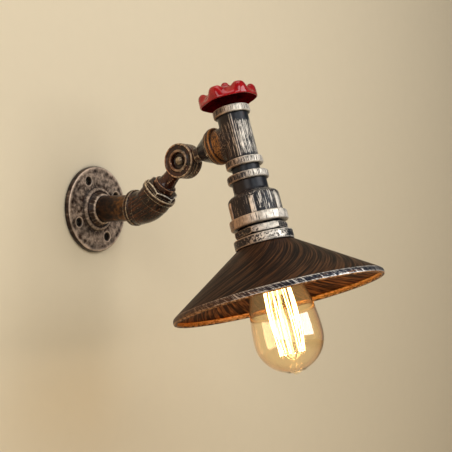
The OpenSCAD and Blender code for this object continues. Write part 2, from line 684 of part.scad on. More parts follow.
module lampholder_body() color([0.86, 0.84, 0.78]) head_frame() difference() {
    translate([0, 0, holder_top]) cylinder(r = holder_r, h = holder_end - holder_top);
    translate([0, 0, shell_top]) cylinder(r = shell_r + shell_t + fit_gap, h = holder_end - shell_top + cut);
    translate([0, 0, shell_top - contact_well_h]) cylinder(r = contact_well_r, h = contact_well_h + cut);
    for (side = [-1, 1]) translate([side * terminal_x, 0, holder_top - cut])
        cylinder(r = terminal_hole_r, h = terminal_depth + cut);
}

module screw_shell() color(brass) head_frame()
    tube(shell_r + shell_t, shell_r, shell_top + fit_gap, holder_end - shell_inset);

module centre_contact() color(brass) head_frame() {
    spring_foot = shell_top - contact_well_h + 0.75 * contact_plate_t;
    translate([0, 0, shell_top - contact_well_h]) cylinder(r = contact_well_r - 1, h = contact_plate_t);
    translate([0, 0, spring_foot]) cylinder(r1 = 4, r2 = 3, h = tip_z - spring_foot);
}

module terminal_screws() color(brass) head_frame()
    for (side = [-1, 1]) translate([side * terminal_x, 0, 0]) difference() {
        union() {
            translate([0, 0, holder_top - terminal_head_h])
                cylinder(r = terminal_head_r, h = terminal_head_h);
            translate([0, 0, holder_top - 0.5]) cylinder(r = terminal_r, h = terminal_depth - 1);
        }
        translate([-terminal_head_r - 1, -terminal_slot / 2, holder_top - terminal_head_h - cut])
            cube([2 * terminal_head_r + 2, terminal_slot, terminal_slot + cut]);
    }

module lamp_leads() color([0.10, 0.10, 0.11]) head_frame() {
    lead_r = 1.1;
    lead_x = 6.8;
    for (side = [-1, 1]) translate([side * lead_x, 0, switch_len - switch_top])
        cylinder(r = lead_r, h = holder_top - terminal_head_h - switch_len + switch_top);
}

module bulb_tip() color(steel) head_frame() rotate_extrude() polygon(concat(
    [[0, tip_z]], arc([tip_r - 1, tip_z + 1], 1, -90, 0), [[tip_r, tip_z + tip_h], [0, tip_z + tip_h]]));

module bulb_insulator() color([0.05, 0.05, 0.06]) head_frame() rotate_extrude() polygon([
    [0, tip_z + tip_h], [tip_r + 0.6, tip_z + tip_h], [cap_r - 2.5, cap_top], [0, cap_top]]);

module bulb_cap() color([0.72, 0.66, 0.52]) head_frame() rotate_extrude() polygon([
    [0, cap_top], [cap_r - 2.4, cap_top], [cap_r, cap_top + 2.4], [cap_r, cap_end],
    [cap_r - cap_t, cap_end], [cap_r - cap_t, cap_top + 2.6], [cap_r - 2.6, cap_top + cap_t],
    [0, cap_top + cap_t]]);

// Outline of the bulb's glass, outside or a given depth inside
function glass_outline(depth) = concat(
    [[glass_neck_r - depth, cap_end - 6], [glass_neck_r - depth, cap_end + 1]],
    curve([glass_neck_r - depth, cap_end + 1], [glass_neck_r + 5.5 - depth, cap_end + 21],
          [bulb_r - depth, bulb_wide - 40], [bulb_r - depth, bulb_wide]),
    arc([0, bulb_wide], bulb_r - depth, 0, 90, 14));

module bulb_glass() color([0.93, 0.72, 0.36, 0.35]) head_frame() {
    inner = glass_outline(glass_t);
    rotate_extrude() polygon(concat(glass_outline(0), [for (i = [len(inner) - 1:-1:0]) inner[i]]));
    // pip where the glass was sealed
    rotate_extrude() polygon(concat(
        [[0, bulb_end - glass_t / 2], [3.4, bulb_end - glass_t / 2]],
        curve([3, bulb_end], [2.2, bulb_end + 0.6], [1.8, bulb_end + 2], [0, bulb_end + 2.2], 8)));
}

module bulb_stem() color([0.90, 0.88, 0.82, 0.4]) head_frame() {
    flare_r = glass_neck_r - glass_t - fit_gap;
    rotate_extrude() polygon(concat(
        [[0, cap_end - 5], [flare_r, cap_end - 5]],
        curve([flare_r, cap_end - 4], [4, cap_end], [3.4, cap_end + 6], [3.4, cap_end + stem_len - 3], 8),
        [[rod_r, cap_end + stem_len], [rod_r, cage_end + 4], [0, cage_end + 4]]));
}

// Point of the filament's cage, a step to one side of a hook: even hooks are the upper ones, odd the lower
function cage_point(i, side) = let (a = 360 * i / filament_spans + side * hook_step)
    [cage_d / 2 * cos(a), cage_d / 2 * sin(a), i % 2 == 1 ? cage_end : cage_top];

// Round bar between two points
module bar(a, b, r) {
    d = b - a;
    translate(a) rotate([0, acos(d[2] / norm(d)), atan2(d[1], d[0])]) cylinder(r = r, h = norm(d));
}

module filament() color([1, 0.85, 0.5]) head_frame() {
    for (i = [0:filament_spans - 2]) bar(cage_point(i, 1), cage_point(i + 1, -1), filament_r);
    for (i = [0:filament_spans - 1]) bar(cage_point(i, -1.4), cage_point(i, 1.4), filament_r * 1.3);
}

module filament_hooks() color(steel) head_frame()
    for (i = [0:filament_spans - 1]) {
        start = rod_r + 0.02;
        reach = cage_d / 2 - filament_r * 1.4 - 0.02;
        rotate(360 * i / filament_spans) translate([start, 0, cage_point(i, 0)[2]]) rotate([0, 90, 0])
            cylinder(r = hook_r, h = reach - start);
    }

wall_flange();
wall_nipple();
elbow();
elbow_bushing();
knuckle_base();
pivot_bolt();
pivot_nut();
friction_washer();
knuckle_eye();
arm_cone();
tee();
switch_bonnet();
switch_body();
switch_bushing();
switch_nut();
head_nipple();
reducer();
holder_sleeve();
shade_lock_ring();
shade();
holder_ring();
lampholder_body();
screw_shell();
centre_contact();
terminal_screws();
lamp_leads();
handwheel();
wheel_stem();
wheel_nut();
switch_rotor();
bulb_tip();
bulb_insulator();
bulb_cap();
bulb_glass();
bulb_stem();
filament_hooks();
filament();
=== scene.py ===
import json
import math

import bmesh
import bpy
from mathutils import Matrix, Vector


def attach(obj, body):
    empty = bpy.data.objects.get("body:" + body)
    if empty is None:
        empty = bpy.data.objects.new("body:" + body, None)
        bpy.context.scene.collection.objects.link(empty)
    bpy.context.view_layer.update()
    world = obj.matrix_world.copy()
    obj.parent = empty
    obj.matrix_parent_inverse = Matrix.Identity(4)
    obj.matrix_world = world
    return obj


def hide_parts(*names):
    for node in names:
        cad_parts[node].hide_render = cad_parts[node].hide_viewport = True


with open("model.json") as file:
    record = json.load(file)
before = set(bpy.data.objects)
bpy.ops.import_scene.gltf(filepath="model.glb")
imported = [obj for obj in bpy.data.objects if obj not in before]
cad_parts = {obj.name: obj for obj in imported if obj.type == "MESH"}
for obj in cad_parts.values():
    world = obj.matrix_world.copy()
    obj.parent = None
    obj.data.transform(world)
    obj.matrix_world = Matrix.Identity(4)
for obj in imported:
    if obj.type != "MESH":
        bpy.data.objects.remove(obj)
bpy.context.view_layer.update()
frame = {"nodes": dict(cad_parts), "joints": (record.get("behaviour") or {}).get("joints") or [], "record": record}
nodes = frame["nodes"]
joints = {joint["name"]: joint for joint in frame["joints"]}
MM = 0.001

# Places and axes of the lamp: the wall, the elbow, the knuckle's pivot, and the line from the handwheel
# to the bulb.
WALL = Vector((0, 0, 0))
ELBOW = Vector((0, -0.0715, 0))
PIVOT = Vector(joints["knuckle_tilt"]["pos_m"])
TEE = Vector(joints["wheel_turn"]["pos_m"])
OUT = Vector((0, -1, 0))
RIGHT = Vector((1, 0, 0))
MID_BEND = Vector((0, -0.924, 0.383))
ELBOW_OUT = Vector((0, -1, 1)).normalized()
DOWN = -Vector(joints["wheel_turn"]["axis"]).normalized()
ARM = DOWN.cross(RIGHT)
HEAD = Matrix((RIGHT, ARM, DOWN)).transposed().to_4x4()
HEAD.translation = TEE

# Sides that the finishes tell apart: the one turned to the wall, which takes a painted warm reflection and painted
# shade, and the one turned to the viewer, which takes a painted highlight.
WARM_SHADED_SIDE = Vector((-0.571, 0.821, 0))
FRONT = Vector((-0.75, -0.66, 0))

# Sizes in millimetres. Stations run along the head's axis, from the tee towards the bulb.
SHADE_TOP, LIP_TOP, SHADE_END = 105.3, 151.3, 158.3
SHADE_R, SHADE_TOP_R, HOLE_R, SHEET = 98.85, 27.5, 19.1, 1.2
CAP_TOP, CAP_END, CAP_R = 90.7, 110.7, 13.1
BULB_R, BULB_END, GLASS, NECK_R = 32.2, 224.3, 1.0, 12.5
CAGE_TOP, CAGE_END, CAGE_R, SPANS = 136.7, 206.3, 11.5, 16
SCREW_CIRCLE_R, SCREW_ANGLE, SCREW_R = 31.5, 116, 4.0
WHEEL_BASE, WHEEL_R, HOLLOW_R, WHEEL_LOBES, WHEEL_TURN = 35.0, 28.0, 22.8, 6, 126.0
PORT_START_R, PORT_FULL_R = 17.5, 20.0


def tone(r, g, b):
    """Linear colour of a paint as it is seen, each channel from 0 to 255."""
    linear = [((c / 255 + 0.055) / 1.055) ** 2.4 if c > 10 else c / 255 / 12.92 for c in (r, g, b)]
    return (*linear, 1)


def darker(colour, share):
    return tuple(share * c for c in colour[:3]) + (1,)


# Node helpers

def place(tree, kind, inputs=None, **settings):
    node = tree.nodes.new(kind)
    for key, value in settings.items():
        setattr(node, key, value)
    for key, value in (inputs or {}).items():
        if isinstance(value, bpy.types.NodeSocket):
            tree.links.new(value, node.inputs[key])
        else:
            node.inputs[key].default_value = value
    return node


def math_node(tree, operation, a, b=0.0, clamp=False):
    return place(tree, "ShaderNodeMath", {0: a, 1: b}, operation=operation, use_clamp=clamp).outputs[0]


def times(tree, a, b):
    return math_node(tree, "MULTIPLY", a, b)


def most(tree, a, b):
    return math_node(tree, "MAXIMUM", a, b)


def left_over(tree, share):
    return math_node(tree, "SUBTRACT", 1.0, share)


def vector_node(tree, operation, a, b=(0, 0, 0), out=0):
    return place(tree, "ShaderNodeVectorMath", {0: a, 1: b}, operation=operation).outputs[out]


def dot(tree, a, b):
    return vector_node(tree, "DOT_PRODUCT", a, b, 1)


def length(tree, a):
    return vector_node(tree, "LENGTH", a, out=1)


def scaled(tree, vector, scale):
    return place(tree, "ShaderNodeVectorMath", {0: vector, "Scale": scale}, operation="SCALE").outputs[0]


def joined(tree, **parts):
    return place(tree, "ShaderNodeCombineXYZ", parts).outputs[0]


def object_spot(tree):
    return place(tree, "ShaderNodeTexCoord").outputs["Object"]


def noise(tree, vector, scale, detail, roughness=0.5):
    return place(tree, "ShaderNodeTexNoise", {"Vector": vector, "Scale": scale, "Detail": detail,
                                              "Roughness": roughness}).outputs[0]


def straight_step(tree, value, low, high, to_low=0.0, to_high=1.0, bend="LINEAR"):
    return place(tree, "ShaderNodeMapRange", {"Value": value, "From Min": low, "From Max": high,
                                              "To Min": to_low, "To Max": to_high},
                 interpolation_type=bend).outputs["Result"]


def smooth_step(tree, value, low, high, to_low=0.0, to_high=1.0):
    return straight_step(tree, value, low, high, to_low, to_high, "SMOOTHSTEP")


def mix_value(tree, share, a, b):
    return place(tree, "ShaderNodeMix", {0: share, 2: a, 3: b}).outputs[0]


def mix_colour(tree, share, a, b):
    return place(tree, "ShaderNodeMix", {0: share, 6: a, 7: b}, data_type="RGBA").outputs[2]


def shader_group(name, takes, gives):
    tree = bpy.data.node_groups.new(name, "ShaderNodeTree")
    for label, kind, value in takes:
        socket = tree.interface.new_socket(label, in_out="INPUT", socket_type="NodeSocket" + kind)
        socket.default_value = value
    for label, kind in gives:
        tree.interface.new_socket(label, in_out="OUTPUT", socket_type="NodeSocket" + kind)
    return tree, place(tree, "NodeGroupInput").outputs, place(tree, "NodeGroupOutput").inputs


def use(tree, group, **inputs):
    named = {label.replace("_", " "): value for label, value in inputs.items()}
    return place(tree, "ShaderNodeGroup", named, node_tree=group).outputs


# Shared effects

def make_turned_space():
    """Place on a turned piece: distance along its axis, radius, and vectors for strokes on it."""
    tree, given, result = shader_group(
        "turned_space",
        [("Origin", "Vector", (0, 0, 0)), ("Axis", "Vector", (0, 0, 1)), ("Across", "Vector", (1, 0, 0)),
         ("Twist", "Float", 0.0), ("Slant", "Float", 0.0)],
        [("Along", "Float"), ("Radius", "Float"), ("Lengthwise", "Vector"), ("Around", "Vector"),
         ("Radial", "Vector"), ("Side", "Vector")])
    local = scaled(tree, vector_node(tree, "SUBTRACT", object_spot(tree), given["Origin"]), 1 / MM)
    along = dot(tree, local, given["Axis"])
    third = vector_node(tree, "CROSS_PRODUCT", given["Axis"], given["Across"])
    flat = joined(tree, X=dot(tree, local, given["Across"]), Y=dot(tree, local, third))
    radius = length(tree, flat)
    turn = math_node(tree, "ADD", times(tree, radius, given["Twist"]), times(tree, along, given["Slant"]))
    turned = place(tree, "ShaderNodeVectorRotate", {"Vector": flat, "Angle": turn}, rotation_type="Z_AXIS")
    ring = vector_node(tree, "NORMALIZE", turned.outputs[0])
    lift = joined(tree, Z=along)
    reach = joined(tree, Z=radius)
    off_axis = vector_node(tree, "SUBTRACT", local, scaled(tree, given["Axis"], along))
    for label, socket in (("Along", along), ("Radius", radius),
                          ("Lengthwise", vector_node(tree, "ADD", flat, lift)),
                          ("Around", vector_node(tree, "ADD", ring, lift)),
                          ("Radial", vector_node(tree, "ADD", ring, reach)),
                          ("Side", vector_node(tree, "NORMALIZE", off_axis))):
        tree.links.new(socket, result[label])
    return tree


def make_brush_strokes():
    """Mask of dry-brushed paint: a stretched noise cut off at the wanted coverage."""
    tree, given, result = shader_group(
        "brush_strokes",
        [("Vector", "Vector", (0, 0, 0)), ("Stretch", "Vector", (1, 1, 1)), ("Coverage", "Float", 0.5),
         ("Softness", "Float", 0.08), ("Seed", "Float", 0.0)],
        [("Mask", "Float"), ("Grain", "Float")])
    stretched = vector_node(tree, "MULTIPLY", given["Vector"], given["Stretch"])
    grain = noise(tree, vector_node(tree, "ADD", stretched, given["Seed"]), 1.0, 5.0, 0.65)
    level = straight_step(tree, given["Coverage"], 0.0, 1.0, 0.76, 0.24)
    low = math_node(tree, "SUBTRACT", level, given["Softness"])
    high = math_node(tree, "ADD", level, given["Softness"])
    tree.links.new(smooth_step(tree, grain, low, high), result["Mask"])
    tree.links.new(grain, result["Grain"])
    return tree


def make_edge_and_hollow_masks():
    """Masks of the convex edges, used for rubbed-off paint and for a painted highlight, and of the hollows, used
    for painted shade.
    """
    tree, given, result = shader_group(
        "edge_and_hollow_masks",
        [("Start", "Float", 0.008), ("Full", "Float", 0.035), ("Break up", "Float", 0.5)],
        [("Edge", "Float"), ("Shaded hollow", "Float")])
    point = math_node(tree, "SUBTRACT", place(tree, "ShaderNodeNewGeometry").outputs["Pointiness"], 0.5)
    uneven = smooth_step(tree, noise(tree, object_spot(tree), 350.0, 3.0), 0.35, 0.6)
    worn = mix_value(tree, given["Break up"], 1.0, uneven)
    edge = smooth_step(tree, point, given["Start"], given["Full"])
    hollow_shade = smooth_step(tree, times(tree, point, -1.0), given["Start"], given["Full"])
    tree.links.new(times(tree, edge, worn), result["Edge"])
    tree.links.new(hollow_shade, result["Shaded hollow"])
    return tree


def make_corner_shade():
    """Mask of painted shade in grooves and corners, between pieces too."""
    tree, given, result = shader_group("corner_shade", [("Reach", "Float", 0.006)], [("Mask", "Float")])
    shut = place(tree, "ShaderNodeAmbientOcclusion", {"Distance": given["Reach"]}, samples=6).outputs["AO"]
    tree.links.new(smooth_step(tree, shut, 0.75, 0.3), result["Mask"])
    return tree


def make_screw_hole_shade_and_wear():
    """Masks of painted shade in and round the flange's four screw holes, and of the rubbed ring outside it."""
    tree, given, result = shader_group(
        "screw_hole_shade_and_wear", [("Shade reach", "Float", 5.2), ("Ring", "Float", 6.2)],
        [("Dark", "Float"), ("Rubbed", "Float")])
    turned = place(tree, "ShaderNodeVectorRotate",
                   {"Vector": object_spot(tree), "Angle": math.radians(SCREW_ANGLE)}, rotation_type="Y_AXIS")
    flat = vector_node(tree, "MULTIPLY", turned.outputs[0], (1 / MM, 0, 1 / MM))
    folded = vector_node(tree, "ABSOLUTE", flat)
    beside = length(tree, vector_node(tree, "SUBTRACT", folded, (SCREW_CIRCLE_R, 0, 0)))
    above = length(tree, vector_node(tree, "SUBTRACT", folded, (0, 0, SCREW_CIRCLE_R)))
    away = math_node(tree, "MINIMUM", beside, above)
    inside = straight_step(tree, away, given["Shade reach"], SCREW_R)
    outside = smooth_step(tree, away, given["Ring"], given["Shade reach"])
    tree.links.new(inside, result["Dark"])
    tree.links.new(math_node(tree, "SUBTRACT", outside, inside, clamp=True), result["Rubbed"])
    return tree


def make_cast_grain():
    """Height of a sand-cast or sprayed surface: fine grain over shallow dents."""
    tree, given, result = shader_group(
        "cast_grain", [("Fine", "Float", 900.0), ("Coarse", "Float", 160.0), ("Coarse share", "Float", 0.6)],
        [("Height", "Float")])
    spot = object_spot(tree)
    fine = noise(tree, spot, given["Fine"], 2.0)
    coarse = noise(tree, spot, given["Coarse"], 3.0)
    tree.links.new(mix_value(tree, given["Coarse share"], fine, coarse), result["Height"])
    return tree


turned_space = make_turned_space()
brush_strokes = make_brush_strokes()
edge_and_hollow_masks = make_edge_and_hollow_masks()
corner_shade = make_corner_shade()
screw_hole_shade_and_wear = make_screw_hole_shade_and_wear()
cast_grain = make_cast_grain()


# Materials

def new_material(name):
    material = bpy.data.materials.new(name)
    material.use_nodes = True
    tree = material.node_tree
    tree.nodes.clear()
    shader = place(tree, "ShaderNodeBsdfPrincipled")
    place(tree, "ShaderNodeOutputMaterial", {"Surface": shader.outputs[0]})
    return material, tree, shader


def feed(tree, shader, **inputs):
    """Sets the shader's inputs, each to a value or to what a node gives."""
    for label, value in inputs.items():
        socket = shader.inputs[label.replace("_", " ")]
        if isinstance(value, bpy.types.NodeSocket):
            tree.links.new(value, socket)
        else:
            socket.default_value = value


def show_clear_where(tree, shader, share, tint=(1, 1, 1, 1)):
    """Lets rays straight through where share is 1."""
    clear = place(tree, "ShaderNodeBsdfTransparent", {"Color": tint})
    both = place(tree, "ShaderNodeMixShader", {0: share, 1: shader.outputs[0], 2: clear.outputs[0]})
    output = next(node for node in tree.nodes if node.bl_idname == "ShaderNodeOutputMaterial")
    tree.links.new(both.outputs[0], output.inputs["Surface"])


def stations(tree, value, stops):
    """A value that changes along a piece, from pairs of millimetres and level."""
    first, last = stops[0][0], stops[-1][0]
    ramp = place(tree, "ShaderNodeValToRGB", {0: straight_step(tree, value, first, last)})
    band = ramp.color_ramp
    spots = [(mm - first) / (last - first) for mm, level in stops]
    band.elements[1].position = spots[1]
    for spot in spots[2:]:
        band.elements.new(spot)
    for stop, (mm, level) in zip(band.elements, stops):
        stop.color = (level, level, level, 1)
    return ramp.outputs[0]


def bump(tree, shader, height, strength, distance):
    node = place(tree, "ShaderNodeBump", {"Strength": strength, "Distance": distance, "Height": height})
    feed(tree, shader, Normal=node.outputs[0])


def rubbed_iron(name, origin, axis, across, cover, dark, brown, pale, copper,
                over="Along", strokes_run="Lengthwise", stretch=(0.9, 0.9, 0.07), softness=0.05, seed=0.0,
                brown_share=0.45, blotch=(0.16, 0.16, 0.16), warm_reflection_share=0.8, side_shade=0.0,
                edge=(0.005, 0.025), edge_share=1.0, broken=0.5, front_highlight=0.0,
                port_cover=None, port_paint=None, screws=False, gloss=0.32, shine=0.22, skin=0.6):
    """Black iron with brown patches, and metal paint brushed dry where cover says and on its edges. Painted shade
    darkens its hollows and corners; the side turned to the wall takes a painted warm reflection and painted shade,
    and facets turned to the viewer can take a painted highlight.
    """
    material, tree, shader = new_material(name)
    space = use(tree, turned_space, Origin=origin, Axis=axis, Across=across)
    # Painted warm reflection and painted shade on the side turned to the wall: copper paint and brown ground
    # there, and less paint by the side shade share.
    warm_shaded_side = smooth_step(tree, dot(tree, space["Side"], WARM_SHADED_SIDE), -0.4, 0.8)
    warm_reflection = times(tree, warm_shaded_side, warm_reflection_share)
    unshaded_share = left_over(tree, times(tree, warm_shaded_side, side_shade))
    amount = times(tree, stations(tree, space[over], cover), unshaded_share)
    # Painted highlight: facets turned to the viewer keep all their paint, the others lose some.
    if front_highlight:
        facing = dot(tree, place(tree, "ShaderNodeTexCoord").outputs["Normal"], FRONT)
        amount = times(tree, amount, smooth_step(tree, facing, 0.6, 0.85, 1.0 - front_highlight, 1.0))
    if port_cover:
        amount = most(tree, amount, stations(tree, space["Radius"], port_cover))
    strokes = use(tree, brush_strokes, Vector=space[strokes_run], Stretch=stretch, Coverage=amount,
                  Softness=softness, Seed=seed)
    patches = use(tree, brush_strokes, Vector=space["Lengthwise"], Stretch=blotch, Coverage=brown_share,
                  Softness=0.12, Seed=seed + 7)
    rub = use(tree, edge_and_hollow_masks, Start=edge[0], Full=edge[1], Break_up=broken)
    # Painted shade: darker in corners, between pieces and in hollows.
    painted_shade = most(tree, use(tree, corner_shade)["Mask"], times(tree, rub["Shaded hollow"], 0.7))
    if screws:
        off_the_wall = smooth_step(tree, space["Along"], 0.2, 0.8)
        painted_shade = times(tree, painted_shade, off_the_wall)

    # The brown ground mixes random patches with the painted warm reflection.
    brown_patch_and_warm_side = most(tree, times(tree, patches["Mask"], 0.8), times(tree, warm_reflection, 0.5))
    ground = mix_colour(tree, brown_patch_and_warm_side, dark, brown)
    paint = mix_colour(tree, warm_reflection, pale, copper)
    thick = smooth_step(tree, patches["Grain"], 0.35, 0.6)
    paint = mix_colour(tree, thick, mix_colour(tree, 0.45, paint, dark), paint)
    if port_paint:
        on_port = smooth_step(tree, space["Radius"], PORT_START_R, PORT_FULL_R)
        paint = mix_colour(tree, on_port, paint, port_paint)

    edge_paint = times(tree, rub["Edge"], smooth_step(tree, amount, 0.0, 0.05, 0.0, edge_share))
    worn = most(tree, strokes["Mask"], edge_paint)
    # The dry paint thins out where painted shade falls.
    worn = times(tree, worn, left_over(tree, times(tree, painted_shade, 0.85)))
    if screws:
        holes = use(tree, screw_hole_shade_and_wear)
        worn = most(tree, worn, holes["Rubbed"])
        painted_shade = most(tree, painted_shade, holes["Dark"])
    colour = mix_colour(tree, worn, ground, paint)
    # Painted shade pulls the colour towards near-black.
    colour = mix_colour(tree, times(tree, painted_shade, 0.85), colour, darker(dark, 0.3))
    feed(tree, shader, Base_Color=colour, Metallic=smooth_step(tree, worn, 0.0, 1.0, 0.05, 0.3),
         Roughness=smooth_step(tree, worn, 0.0, 1.0, gloss, 0.34), Specular_IOR_Level=shine)
    bump(tree, shader, mix_value(tree, 0.4, use(tree, cast_grain)["Height"], worn), skin, 0.0006)
    return material


def shade_finish(name, dark, streak, pale, over, cover, stretch, share,
                 twist=0.0, slant=0.0, soft=0.14, seed=0.0, dashes=(34, 34, 0.6),
                 warm_reflection_share=0.6, warm_reflection_ground=0.0, metallic=0.35, rough=0.42):
    """Sheet metal with paint dragged round or across it, and a paler rub where cover says; on the side turned to
    the wall the rub, and by share the ground, take the streak colour as painted warm reflection.
    """
    material, tree, shader = new_material(name)
    space = use(tree, turned_space, Origin=TEE, Axis=DOWN, Across=RIGHT, Twist=twist, Slant=slant)
    way = space["Radial" if over == "Radius" else "Around"]
    drag = use(tree, brush_strokes, Vector=way, Stretch=stretch, Coverage=share, Softness=soft, Seed=seed)
    finer = tuple(2.6 * s for s in stretch)
    fine = use(tree, brush_strokes, Vector=way, Stretch=finer, Coverage=share * 0.9, Softness=0.1,
               Seed=seed + 3)
    rub = use(tree, brush_strokes, Vector=space["Around"], Stretch=dashes, Softness=0.07, Seed=seed + 11,
              Coverage=stations(tree, space[over], cover))
    # Painted warm reflection on the side turned to the wall.
    warm_shaded_side = smooth_step(tree, dot(tree, space["Side"], WARM_SHADED_SIDE), -0.3, 0.9)
    ground = mix_colour(tree, drag["Mask"], dark, streak)
    ground = mix_colour(tree, times(tree, fine["Mask"], 0.7), ground, darker(dark, 0.45))
    ground = mix_colour(tree, times(tree, warm_shaded_side, warm_reflection_ground), ground, streak)
    paint = mix_colour(tree, times(tree, warm_shaded_side, warm_reflection_share), pale, streak)
    feed(tree, shader, Base_Color=mix_colour(tree, rub["Mask"], ground, paint),
         Metallic=smooth_step(tree, rub["Mask"], 0.0, 1.0, metallic, 0.7), Specular_IOR_Level=0.08,
         Roughness=smooth_step(tree, drag["Grain"], 0.3, 0.7, rough + 0.08, rough - 0.08))
    bump(tree, shader, mix_value(tree, 0.4, drag["Grain"], use(tree, cast_grain)["Height"]), 0.35, 0.0004)
    return material


def plain_finish(name, base, second, metallic, rough, coat=0.0, clear=0.0):
    """A small part's own finish: slightly uneven colour and gloss over a fine grain."""
    material, tree, shader = new_material(name)
    marks = use(tree, brush_strokes, Vector=object_spot(tree), Stretch=(250.0,) * 3, Coverage=0.45,
                Softness=0.18)
    rub = use(tree, edge_and_hollow_masks, Start=0.03, Full=0.12)
    share = most(tree, times(tree, marks["Mask"], 0.7), rub["Edge"])
    feed(tree, shader, Base_Color=mix_colour(tree, share, base, second), Metallic=metallic,
         Roughness=smooth_step(tree, marks["Grain"], 0.3, 0.7, rough + 0.06, rough - 0.05),
         Transmission_Weight=clear, Coat_Weight=coat, Coat_Roughness=0.08)
    bump(tree, shader, use(tree, cast_grain, Fine=1400.0, Coarse=500.0)["Height"], 0.25, 0.0002)
    return material


def red_paint(name, paint, pooled, edge_highlight, shut, coat, ior):
    """Thick paint on the cast wheel: darker in random patches, with a painted highlight on its edges and painted
    shade in its hollows and corners.
    """
    material, tree, shader = new_material(name)
    rub = use(tree, edge_and_hollow_masks, Start=0.01, Full=0.09, Break_up=0.2)
    pools = use(tree, brush_strokes, Vector=object_spot(tree), Stretch=(130,) * 3, Coverage=0.5,
                Softness=0.2)
    colour = mix_colour(tree, pools["Mask"], paint, pooled)
    # Painted highlight on the edges.
    colour = mix_colour(tree, rub["Edge"], colour, edge_highlight)
    # Painted shade in hollows and corners.
    colour = mix_colour(tree, use(tree, corner_shade, Reach=0.02)["Mask"], colour, shut)
    feed(tree, shader, Base_Color=colour, IOR=ior, Coat_Weight=coat, Coat_Roughness=0.05,
         Roughness=smooth_step(tree, pools["Grain"], 0.3, 0.7, 0.3, 0.24))
    dents = use(tree, cast_grain, Fine=420.0, Coarse=140.0, Coarse_share=0.7)["Height"]
    bump(tree, shader, dents, 0.35, 0.0006)
    return material


def clear_glass(name, tint, amber, rough, painted_glow):
    """Glass that lets the filament's light out without a hard shadow, amber towards its outline, with a painted
    glow.
    """
    material, tree, shader = new_material(name)
    streaks = noise(tree, object_spot(tree), 28.0, 1.0)
    rim = place(tree, "ShaderNodeLayerWeight", {"Blend": 0.35}).outputs["Facing"]
    colour = mix_colour(tree, smooth_step(tree, streaks, 0.3, 0.7), tint, darker(tint, 0.96))
    feed(tree, shader, Base_Color=mix_colour(tree, smooth_step(tree, rim, 0.2, 0.85), colour, amber),
         Transmission_Weight=1.0, Metallic=0.0, Roughness=rough, IOR=1.47,
         Coat_Weight=1.0, Coat_IOR=1.6, Coat_Roughness=0.05,
         Emission_Color=tone(255, 222, 160), Emission_Strength=painted_glow)
    bump(tree, shader, streaks, 0.12, 0.0006)
    path = place(tree, "ShaderNodeLightPath").outputs
    show_clear_where(tree, shader, most(tree, path["Is Shadow Ray"], path["Is Diffuse Ray"]), tint)
    return material


def glowing_wire(name):
    """Carbon filament at work, a little hotter between its hooks than at them."""
    material, tree, shader = new_material(name)
    space = use(tree, turned_space, Origin=TEE, Axis=DOWN, Across=RIGHT)
    heat = stations(tree, space["Along"],
                    [(CAGE_TOP, 0.55), (CAGE_TOP + 12, 1.0), (CAGE_END - 10, 1.0), (CAGE_END, 0.6)])
    feed(tree, shader, Emission_Color=mix_colour(tree, heat, tone(255, 176, 84), tone(255, 226, 160)),
         Emission_Strength=17.0, Base_Color=tone(60, 40, 30), Roughness=0.6)
    return material


BLUE_BLACK, BROWN_BLACK = tone(16, 20, 26), tone(27, 15, 11)
# COPPER is the paint of the painted warm reflection on the side turned to the wall.
BROWN, COPPER, WALL_COPPER = tone(58, 36, 22), tone(164, 108, 60), tone(134, 86, 42)
CHAMPAGNE, SILVER, PINK_BRONZE = tone(232, 206, 168), tone(230, 220, 204), tone(216, 190, 166)

finish = {}
finish["tee_iron"] = rubbed_iron(
    "tee_iron", TEE, DOWN, RIGHT,
    [(-29, 0.58), (-22.2, 0.58), (-21, 0.0), (-17, 0.06), (-12, 0.46), (0, 0.5), (18, 0.48), (21, 0.3),
     (22.2, 0.56), (29, 0.56)],
    BLUE_BLACK, BROWN, SILVER, COPPER, stretch=(1.6, 1.6, 0.065), softness=0.04, brown_share=0.25,
    side_shade=0.3, port_cover=[(14, 0.0), (18, 0.2), (19, 0.5), (25, 0.48), (26.5, 0.2)],
    port_paint=tone(164, 104, 50))
finish["reducer_iron"] = rubbed_iron(
    "reducer_iron", TEE, DOWN, RIGHT,
    [(35.9, 0.53), (43, 0.53), (44, 0.0), (51, 0.0), (55, 0.4), (59, 0.38), (76, 0.4), (77.5, 0.68),
     (86.3, 0.68)],
    BLUE_BLACK, BROWN, SILVER, COPPER, stretch=(1.2, 1.2, 0.07), softness=0.04, seed=4.0, brown_share=0.25,
    side_shade=0.3, edge=(0.007, 0.03), port_cover=[(24.3, 0.0), (24.9, 0.62), (27, 0.66), (28, 0.66)])
# The sleeve's hex facets turned to the viewer take a painted highlight.
finish["sleeve_iron"] = rubbed_iron(
    "sleeve_iron", TEE, DOWN, RIGHT, [(86, 0.1), (87.8, 0.7), (94.5, 0.7), (96, 0.5), (105.2, 0.6)],
    BLUE_BLACK, BROWN, SILVER, COPPER, stretch=(0.5, 0.5, 0.5), seed=5.0, brown_share=0.3, side_shade=0.2,
    front_highlight=0.5)
finish["pipe_iron"] = rubbed_iron(
    "pipe_iron", TEE, DOWN, RIGHT, [(-400, 0.06), (400, 0.06)],
    BLUE_BLACK, tone(52, 32, 20), tone(120, 112, 104), COPPER, brown_share=0.35, warm_reflection_share=0.2,
    edge_share=0.0)
wall_pipe = rubbed_iron(
    "wall_pipe", WALL, OUT, RIGHT, [(10, 0.1), (30, 0.16), (42, 0.46), (60, 0.4)],
    tone(22, 15, 12), tone(60, 36, 20), WALL_COPPER, WALL_COPPER, stretch=(0.2, 0.2, 0.2), softness=0.2,
    seed=8.0, brown_share=0.42, warm_reflection_share=0.0, edge_share=0.0)
